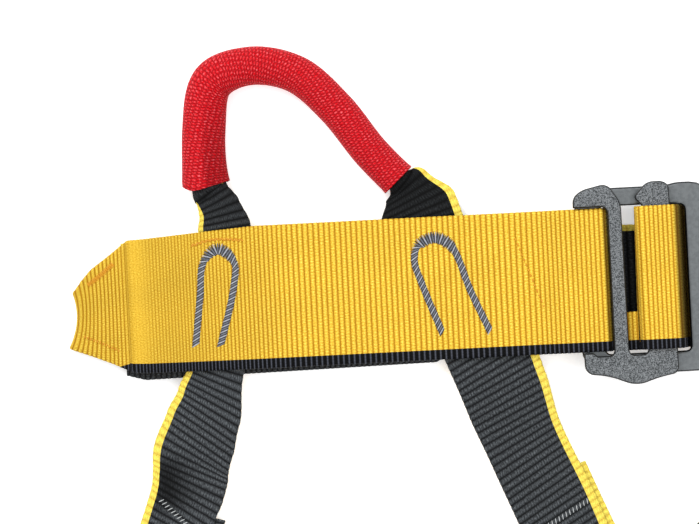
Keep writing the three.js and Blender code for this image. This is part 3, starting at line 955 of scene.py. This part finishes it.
def sleeve_material(name, body, deep, pale):
    """Red tubular weave: coarse polyester yarns over and under, with painted shade between them and a painted
    highlight, pale, where a yarn catches the light.
    """
    material, tree, surface = new_material(name)
    weave = add_node(tree, "ShaderNodeUVMap", uv_map="weave")
    parts = add_node(tree, "ShaderNodeSeparateXYZ", {0: weave.outputs[0]})
    # Long yarn floats lie round the tube, 0.95 mm apart along it and 1.5 mm long, and wander a little
    wander = add_node(tree, "ShaderNodeTexNoise", {"Vector": weave.outputs[0], "Scale": 0.55, "Detail": 1.0})
    row = math_node(tree, "MULTIPLY_ADD", parts.outputs[0], 1 / 0.95, wander.outputs[0])
    shift = math_node(tree, "MULTIPLY", math_node(tree, "FLOOR", row), 0.5)
    slanted = math_node(tree, "MULTIPLY_ADD", parts.outputs[0], 0.4, shift)
    round_tube = math_node(tree, "MULTIPLY_ADD", parts.outputs[1], 1 / 1.5, slanted)
    knot = math_node(tree, "MULTIPLY", ripple(tree, round_tube), ripple(tree, row))
    grain = add_node(
        tree,
        "ShaderNodeTexNoise",
        {"Vector": weave.outputs[0], "Scale": 1.7, "Detail": 3.0, "Roughness": 0.75},
    )
    catching = {"Value": grain.outputs[0], "From Min": 0.48, "From Max": 0.68}
    glint = add_node(tree, "ShaderNodeMapRange", catching)
    # Painted shade between the yarn floats, and a painted highlight on them where the grain is high
    colour = mix_colour(tree, math_node(tree, "POWER", knot, 0.42), linear(deep), linear(body))
    catch = math_node(tree, "MULTIPLY", math_node(tree, "POWER", knot, 1.4), glint.outputs[0])
    colour = mix_colour(tree, math_node(tree, "MULTIPLY", catch, 0.75), colour, linear(pale))
    shade = add_node(tree, "ShaderNodeAttribute", attribute_name="shade").outputs["Fac"]
    shaded = add_node(tree, "ShaderNodeVectorMath", {0: colour, 3: shade}, operation="SCALE")
    tree.links.new(shaded.outputs[0], surface.inputs["Base Color"])
    height = math_node(tree, "MULTIPLY_ADD", grain.outputs[0], 0.4, knot)
    bump = add_node(tree, "ShaderNodeBump", {"Height": height, "Strength": 0.9, "Distance": 0.0003})
    tree.links.new(bump.outputs[0], surface.inputs["Normal"])
    surface.inputs["Roughness"].default_value = 0.5
    surface.inputs["Specular IOR Level"].default_value = 0.08
    return material


def coated_metal(name, body, fleck, grain, bump_distance, roughness, metallic):
    """Aluminium alloy under a grey coat: fine for the frame, coarse textured powder for the plate."""
    material, tree, surface = new_material(name)
    place = add_node(tree, "ShaderNodeTexCoord")
    noise = add_node(
        tree,
        "ShaderNodeTexNoise",
        {"Vector": place.outputs["Object"], "Scale": 1 / (grain * MM), "Detail": 2.0, "Roughness": 0.7},
    )
    ramp = add_node(tree, "ShaderNodeMapRange", {"Value": noise.outputs[0], "From Min": 0.4, "From Max": 0.6})
    colour = mix_colour(tree, ramp.outputs[0], linear(body), linear(fleck))
    tree.links.new(colour, surface.inputs["Base Color"])
    bump = add_node(
        tree, "ShaderNodeBump", {"Height": noise.outputs[0], "Strength": 0.7, "Distance": bump_distance * MM}
    )
    tree.links.new(bump.outputs[0], surface.inputs["Normal"])
    surface.inputs["Roughness"].default_value = roughness
    surface.inputs["Metallic"].default_value = metallic
    return material


def thread_material(name, body, deep):
    """Bonded polyester sewing thread: smooth twisted filament with a slight shine."""
    material, tree, surface = new_material(name)
    place = add_node(tree, "ShaderNodeTexCoord")
    twist = {"Vector": place.outputs["Object"], "Scale": 1800.0, "Detail": 2.0}
    noise = add_node(tree, "ShaderNodeTexNoise", twist)
    colour = mix_colour(tree, noise.outputs[0], linear(deep), linear(body))
    tree.links.new(colour, surface.inputs["Base Color"])
    surface.inputs["Roughness"].default_value = 0.45
    return material


# Sizes and colours that a user would change


class HarnessSizes(bpy.types.PropertyGroup):
    """Sizes of the webbing's ribs and of the camera's view."""

    band_pitch: FloatProperty(name="Band rib pitch", description="Millimetres between ribs", default=1.67)
    strap_pitch: FloatProperty(name="Strap rib pitch", description="Millimetres between ribs", default=2.2)
    band_ridge: FloatProperty(name="Band rib depth", description="Depth of the grooves in mm", default=0.2)
    strap_ridge: FloatProperty(name="Strap rib depth", description="Depth of the grooves in mm", default=0.2)
    band_selvage: FloatProperty(
        name="Band selvage",
        description="Width of the black edge in mm",
        default=3.1,
    )
    strap_selvage: FloatProperty(
        name="Strap selvage",
        description="Width of the yellow edge in mm",
        default=2.4,
    )
    view_width: FloatProperty(name="View width", description="Width of the view in mm", default=220.2)


class HarnessColours(bpy.types.PropertyGroup):
    """Colours of the materials, as sRGB hex values."""

    yellow: StringProperty(name="Yellow", description="Band face", default="#E6B41E")
    # The groove colours below are painted shade between the ribs, and the colours of the filaments that catch
    # the light are painted highlight
    orange: StringProperty(name="Groove", description="Depth between the band's ribs", default="#9A5E02")
    cream: StringProperty(name="Cream", description="Filaments that catch the light", default="#FFE566")
    lemon: StringProperty(name="Lemon", description="Straps' yellow edge", default="#EFDA5C")
    black: StringProperty(name="Black", description="Strap face", default="#2F3235")
    strap_groove_shade: StringProperty(name="Soot", description="Depth between the straps' ribs", default="#050506")
    strap_glint_grey: StringProperty(name="Ash", description="Strap filaments that catch the light", default="#6E7377")
    red: StringProperty(name="Red", description="Sleeve", default="#D60413")
    frame_grey: StringProperty(name="Frame grey", description="Buckle frame", default="#696D6F")
    plate_grey: StringProperty(name="Plate grey", description="Buckle plate", default="#202426")


# A black selvage: its grooves' colour, a painted shade, its ribs' colour, and how narrow the painted
# highlight on their tops is
BLACK_SELVAGE = ("#020203", "#4C4F59", 14.0)


class HarnessOperator:
    """What the harness's operators share: the sizes, the colours and the two kinds of webbing."""

    bl_options = {"REGISTER", "UNDO"}

    def band_materials(self, context):
        """The band's yellow face with its black edge, and its black reverse with a yellow edge."""
        sizes, colours = context.scene.harness_sizes, context.scene.harness_colours
        yellow = (colours.orange, colours.yellow, colours.cream)
        black = (colours.strap_groove_shade, colours.black, colours.strap_glint_grey)
        edge = (BAND_WIDTH, "low", sizes.band_selvage)
        return [
            self.webbing("yellow polyester webbing", yellow, BLACK_SELVAGE, *edge, 0.25),
            self.webbing("black band reverse", black, (*yellow[:2], 2.4), *edge, 0.5),
        ]

    def strap_materials(self, context, side):
        """A strap's black face with one yellow edge, and its yellow reverse with one black edge."""
        sizes, colours = context.scene.harness_sizes, context.scene.harness_colours
        yellow = (colours.orange, colours.yellow, colours.cream)
        black = (colours.strap_groove_shade, colours.black, colours.strap_glint_grey)
        edge = (STRAP_WIDTH, side, sizes.strap_selvage if side != "none" else -1.0)
        return [
            # The lemon edge's darker colour is painted shade in its grooves
            self.webbing(f"black polyester strap {side}", black, ("#C9A63A", colours.lemon, 0.9), *edge, 0.6),
            self.webbing(f"yellow strap reverse {side}", yellow, BLACK_SELVAGE, *edge, 0.25),
        ]

    def webbing(self, name, *settings):
        return bpy.data.materials.get(name) or webbing_material(name, *settings)


class HARNESS_OT_bands(HarnessOperator, bpy.types.Operator):
    """Makes the front band, its black backing and the side band"""

    bl_idname = "harness.bands"
    bl_label = "Bands"

    def execute(self, context):
        sizes = context.scene.harness_sizes
        ridge = sizes.band_ridge
        tip_start = sizes.band_selvage + 0.4

        def across_band(share, x):
            # The black edge goes under in the tips, and comes out in a wedge
            inside = min(x - LEFT_TIP, RIGHT_TIP - x) - (TAPER - EDGE_WEDGE)
            start = tip_start * (1 - max(0.0, min(1.0, inside / EDGE_WEDGE)))
            return mix(start, BAND_WIDTH, share)

        def across_side(share, x):
            # Beside the wrap lies the lower strip of the band's cut end alone
            if x < TAIL_MIDDLE:
                return share * TAIL_SHARE * BAND_WIDTH
            return across_band(share, x)

        face, back = self.band_materials(context)
        piece = webbing_solid(
            "front_band",
            strip_along_x(front_band_rows(), 12),
            BAND_WIDTH,
            lambda x: read_table(BAND_PITCH, x),
            ridge,
            [back, face],
            lambda point: read_table(BAND_SHADE, point.x),
            across_band,
            relief=BAND_RELIEF,
        )
        side_pitch = ((WRAP_PITCH_END, WRAP_PITCH), (EVEN_PITCH_START, sizes.band_pitch))
        piece = webbing_solid(
            "side_band",
            strip_along_x(side_band_rows(), 12),
            BAND_WIDTH,
            lambda x: read_table(side_pitch, x),
            ridge,
            [face, back],
            lambda point: read_table(WRAP_SHADE, point.x),
            across_side,
        )
        piece = webbing_solid(
            "backing_band",
            strip_along_x(backing_rows(), 4),
            BAND_WIDTH,
            lambda x: sizes.band_pitch,
            ridge,
            [self.strap_materials(context, "none")[0]],
            lambda point: BACKING_SHADE,
            across_band,
        )
        return {"FINISHED"}


class HARNESS_OT_straps(HarnessOperator, bpy.types.Operator):
    """Makes the back strap, the tie-in webbing and the shoulder straps"""

    bl_idname = "harness.straps"
    bl_label = "Straps"

    def execute(self, context):
        sizes = context.scene.harness_sizes
        grids = {
            "back_strap": (strip_along_x(back_strap_rows(), 4), "high"),
            "tie_in_webbing": (tie_in_grid(), "high"),
        }
        for name, (down, back, side) in SHOULDERS.items():
            grids[name] = (shoulder_grid(down, back), side)
        shades = {"tie_in_webbing": tie_in_shade, "back_strap": back_shade}
        for name, (grid, side) in grids.items():
            piece = webbing_solid(
                name,
                grid,
                STRAP_WIDTH,
                lambda x: sizes.strap_pitch,
                sizes.strap_ridge,
                self.strap_materials(context, side),
                shades.get(name, lambda point: 1.0),
                lambda share, x: share * STRAP_WIDTH - (0.7 if name == "back_strap" else 0.0),
                columns=14 if name == "tie_in_webbing" else 8,
            )
        return {"FINISHED"}


class HARNESS_OT_sleeve(HarnessOperator, bpy.types.Operator):
    """Makes the red woven tube over the tie-in loop"""

    bl_idname = "harness.sleeve"
    bl_label = "Loop sleeve"

    def execute(self, context):
        colours = context.scene.harness_colours
        # The deep red is the painted shade between the yarns, the pale red the painted highlight
        material = sleeve_material("red tubular polyester weave", colours.red, "#7A0510", "#FF8E96")
        sleeve_solid("loop_sleeve_woven", material, "loop_sleeve")
        return {"FINISHED"}


class HARNESS_OT_buckle(HarnessOperator, bpy.types.Operator):
    """Makes the smooth frame and the textured hook plate on top of it"""

    bl_idname = "harness.buckle"
    bl_label = "Buckle"

    def execute(self, context):
        colours = context.scene.harness_colours
        # Each metal's second material is for the rounded rims: near black, a painted shade
        smooth = [
            coated_metal("satin coated aluminium", colours.frame_grey, "#737779", 1.2, 0.01, 0.34, 0.75),
            coated_metal("satin aluminium rim shade", "#1B1D1E", "#2A2C2E", 1.2, 0.01, 0.34, 0.75),
        ]
        grained = [
            coated_metal("textured powder coated alloy", colours.plate_grey, "#7F8386", 0.36, 0.1, 0.5, 0.4),
            coated_metal("powder coated rim shade", "#0C0D0E", "#2C2F31", 0.55, 0.1, 0.5, 0.4),
        ]
        window_end = HALF_BAND + WINDOW_SLACK
        end = window_end + FRAME_SIDE_RAIL
        right = WINDOW_RIGHT + FRAME_END_RAIL
        mesh_data = bmesh.new()
        left = RAIL_RIGHT - FRAME_RAIL + 0.9
        corners = (
            (left, -end - FRAME_DROP, 9.0),
            (right, -end - FRAME_DROP, 8.0),
            (right, end + FRAME_RISE, 8.0),
            (COVERED_RIGHT + 1.8, end + FRAME_RISE, 1.5),
            (COVERED_RIGHT - 1.2, end - BRIDGE_DROP, 1.5),
            (left, end - BRIDGE_DROP, FRAME_CORNER),
        )
        rounded_outline(mesh_data, corners)
        # The window has as many corners as the outside, so that the bridge between them stays even
        window = (
            (RAIL_RIGHT, -window_end, 1.5),
            (WINDOW_RIGHT, -window_end, 1.5),
            (WINDOW_RIGHT, window_end - WINDOW_DROP, 1.5),
            (COVERED_RIGHT, window_end - WINDOW_DROP, 0.5),
            (COVERED_RIGHT - 3, window_end - BRIDGE_DROP, 0.5),
            (RAIL_RIGHT, window_end - BRIDGE_DROP, 1.5),
        )
        rounded_outline(mesh_data, window)
        edges = mesh_data.edges[:]
        bmesh.ops.delete(mesh_data, geom=mesh_data.faces[:], context="FACES_ONLY")
        bmesh.ops.bridge_loops(mesh_data, edges=edges)
        thicken(mesh_data, FRAME_TOP - FRAME_BASE, FRAME_BASE, FRAME_RIM)
        cast = make_object("buckle_frame_cast", mesh_data, smooth, "buckle_frame", cast=True)
        mesh_data = bmesh.new()
        rounded_outline(mesh_data, plate_corners())
        thicken(mesh_data, PLATE_TOP - PLATE_BASE, PLATE_BASE, PLATE_RIM)
        cast = make_object("buckle_plate_cast", mesh_data, grained, "buckle_plate", cast=True)
        return {"FINISHED"}


def plate_corners():
    """The hook plate's outline: foot, covered bar with its lobe, visible bar with its lobe to the left."""
    left = BAR_LEFT - PLATE_REACH
    edge = HALF_BAND + GAP + 0.1
    slot_end = edge + 1.1
    top = HALF_BAND + PLATE_LOBE + 0.6
    foot = -HALF_BAND - PLATE_FOOT
    middle = (BAR_RIGHT + COVERED_LEFT) / 2
    return [
        (left + 0.6, -edge, 0),
        (left + 0.8, foot + 3.4, 2.6),
        (middle - 10, foot + 2.6, 3),
        (middle - 1, foot - 1.0, 3.2),
        (COVERED_RIGHT - 7, foot + 1.3, 3),
        (COVERED_RIGHT, foot + 2.6, 1.8),
        (COVERED_RIGHT - 0.4, top - 1.2, 1.1),
        (COVERED_RIGHT - 2.4, top + 0.2, 1.1),
        (COVERED_LEFT + 2, top + 0.2, 1.8),
        (COVERED_LEFT - 2.4, edge + 2.6, 1.2),
        (COVERED_LEFT, edge - 0.1, 0),
        (COVERED_LEFT, -slot_end, 1.6),
        (BAR_RIGHT, -slot_end, 1.6),
        (BAR_RIGHT - 0.4, edge + 1, 2),
        (BAR_LEFT + 0.2, top + 0.3, 2.4),
        (left + 2, top - 1.6, 1.7),
        (left - 0.6, top - 4, 1.3),
        (left - 0.6, edge, 0),
        (BAR_LEFT - 0.2, edge, 2.2),
        (BAR_LEFT - 0.1, -slot_end, 1.6),
        (BAR_LEFT - 5.4, -slot_end, 0),
        (BAR_LEFT - 6.6, -edge, 0),
    ]


class HARNESS_OT_stitching(HarnessOperator, bpy.types.Operator):
    """Sews the bar tacks, the band's seams and the strap joints"""

    bl_idname = "harness.stitching"
    bl_label = "Stitching"

    def execute(self, context):
        # The bar tacks' grey thread comes in pale, mid and dark tones that take turns from stitch to stitch:
        # painted light and shade on the close stitches
        grey = thread_material("grey bonded thread", "#B6BAC4", "#7E828E")
        dark = thread_material("dark grey bonded thread", "#2E3138", "#0E0F12")
        dull = thread_material("mid grey bonded thread", "#747884", "#3E414A")
        white = thread_material("white bonded thread", "#CDD0D0", "#9A9E9E")
        orange = thread_material("orange bonded thread", "#DE9E06", "#B87400")
        band_top = layer(3) + WEB / 2
        left_tack = (
            (-40.5, -14),
            (-38.4, 1),
            (-36.8, 11.8),
            (-32.2, 15.9),
            (-27.2, 11.6),
            (-27.8, 3),
            (-32.6, -14.4),
        )
        right_tack = (
            (37.2, -14),
            (31.8, 1),
            (29.6, 9),
            (30.9, 13.6),
            (36.2, 16),
            (41.4, 13),
            (46.8, -1.4),
            (52.2, -14.2),
        )
        close = {"spacing": 0.44, "reach": 1.45, "height": band_top}
        tacks = satin(left_tack, **close) + satin(right_tack, **close)
        self.sew("bar_tacks", tacks, 0.25, [grey, dark, dull, dark])
        tip_top = layer(2) + WEB / 2
        seams = running(((73, 17.5), (73.6, -18)), 1.7, band_top + 0.4)
        seams += running(((61.6, 14.5), (70, -8.6)), 1.7, band_top)
        seams += zigzag(((-40.4, 17.2), (-33.4, 18.8), (-24, 18.2)), 1.5, 0.4, band_top)
        seams += satin(((-65.6, 12.6), (-69.2, 9.6), (-73.4, 6.6)), 0.6, 0.6, tip_top)
        seams += satin(((-75.4, -9.8), (-70.6, -11.8), (-65, -14.6)), 1.0, 0.3, tip_top)
        self.sew("band_seams", seams, 0.3, [orange])
        joint_top = layer(1) + WEB / 2 + 0.1
        joints = zigzag(((-54.2, -62.4), (-46.6, -70.4), (-40.5, -77)), 1.3, 0.85, joint_top)[::2]
        joints += zigzag(((80.6, -69.4), (68.6, -76.2), (59, -81.6)), 1.3, 0.85, joint_top)[::2]
        self.sew("strap_joint_seams", joints, 0.15, [white])
        return {"FINISHED"}

    def sew(self, name, strokes, radius, materials):
        thread_strokes(name, strokes, radius, materials)


class HARNESS_OT_stage(bpy.types.Operator):
    """Lays the pale floor, sets the soft lights and places the camera straight above"""

    bl_idname = "harness.stage"
    bl_label = "Stage"

    def execute(self, context):
        scene = context.scene
        self.floor()
        world = bpy.data.worlds.new("studio")
        world.use_nodes = True
        tree = world.node_tree
        # The studio is bright overhead and dim near the horizon, so that rims and grooves read dark
        way = add_node(tree, "ShaderNodeTexCoord").outputs["Generated"]
        rise = add_node(tree, "ShaderNodeSeparateXYZ", {0: way}).outputs[2]
        overhead = {"Value": rise, "From Min": 0.1, "From Max": 0.75, "To Min": 0.15}
        glow = add_node(tree, "ShaderNodeMapRange", overhead)
        tree.links.new(glow.outputs[0], tree.nodes["Background"].inputs[1])
        tree.nodes["Background"].inputs[0].default_value = (1, 1, 1, 1)
        scene.world = world
        self.lamp("key", (-0.45, 0.7, 0.9), 0.5, 9.0)
        self.lamp("fill", (0.7, -0.3, 0.9), 0.8, 3.5)
        scene.view_settings.view_transform = "Standard"
        camera = bpy.data.cameras.new("camera")
        # Metres above the floor, and the millimetres above it at which the view's width holds
        height = 1.5
        face_height = 7
        camera.sensor_width = 36.0
        camera.lens = camera.sensor_width * (height / MM - face_height) / scene.harness_sizes.view_width
        camera.clip_end = 10.0
        stand = bpy.data.objects.new("camera", camera)
        stand.location = (0.00916, 0.00963, height)
        stand.rotation_euler = (0, 0, math.radians(-2.9))
        scene.collection.objects.link(stand)
        scene.camera = stand
        return {"FINISHED"}

    def floor(self):
        mesh_data = bmesh.new()
        bmesh.ops.create_grid(mesh_data, x_segments=1, y_segments=1, size=3.0)
        bmesh.ops.translate(mesh_data, verts=mesh_data.verts, vec=(0, 0, -0.00005))
        mesh = bpy.data.meshes.new("floor")
        mesh_data.to_mesh(mesh)
        mesh_data.free()
        material, _, surface = new_material("pale matte floor")
        surface.inputs["Base Color"].default_value = linear("#FBFBFB")
        surface.inputs["Roughness"].default_value = 0.9
        surface.inputs["Emission Color"].default_value = (1, 1, 1, 1)
        surface.inputs["Emission Strength"].default_value = 0.4
        mesh.materials.append(material)
        floor = bpy.data.objects.new("floor", mesh)
        bpy.context.scene.collection.objects.link(floor)

    def lamp(self, name, place, size, power):
        light = bpy.data.lights.new(name, "AREA")
        light.size = size
        light.energy = power
        stand = bpy.data.objects.new(name, light)
        stand.location = place
        stand.rotation_euler = (-Vector(place)).to_track_quat("-Z", "Y").to_euler()
        bpy.context.scene.collection.objects.link(stand)


class HARNESS_PT_panel(bpy.types.Panel):
    """Lists the harness's steps and sizes"""

    bl_label = "Chest harness"
    bl_idname = "HARNESS_PT_panel"
    bl_space_type = "VIEW_3D"
    bl_region_type = "UI"
    bl_category = "Harness"

    def draw(self, context):
        for operator in OPERATORS:
            self.layout.operator(operator.bl_idname)
        for group in (context.scene.harness_sizes, context.scene.harness_colours):
            for name in group.__annotations__:
                self.layout.prop(group, name)


OPERATORS = (
    HARNESS_OT_bands,
    HARNESS_OT_straps,
    HARNESS_OT_sleeve,
    HARNESS_OT_buckle,
    HARNESS_OT_stitching,
    HARNESS_OT_stage,
)
CLASSES = (HarnessSizes, HarnessColours, *OPERATORS, HARNESS_PT_panel)


def register():
    for item in CLASSES:
        bpy.utils.register_class(item)
    bpy.types.Scene.harness_sizes = bpy.props.PointerProperty(type=HarnessSizes)
    bpy.types.Scene.harness_colours = bpy.props.PointerProperty(type=HarnessColours)


def unregister():
    del bpy.types.Scene.harness_colours
    del bpy.types.Scene.harness_sizes
    for item in reversed(CLASSES):
        bpy.utils.unregister_class(item)


def main():
    register()
    bpy.ops.harness.bands()
    bpy.ops.harness.straps()
    bpy.ops.harness.sleeve()
    bpy.ops.harness.buckle()
    bpy.ops.harness.stitching()
    bpy.ops.harness.stage()


if __name__ == "__main__":
    main()
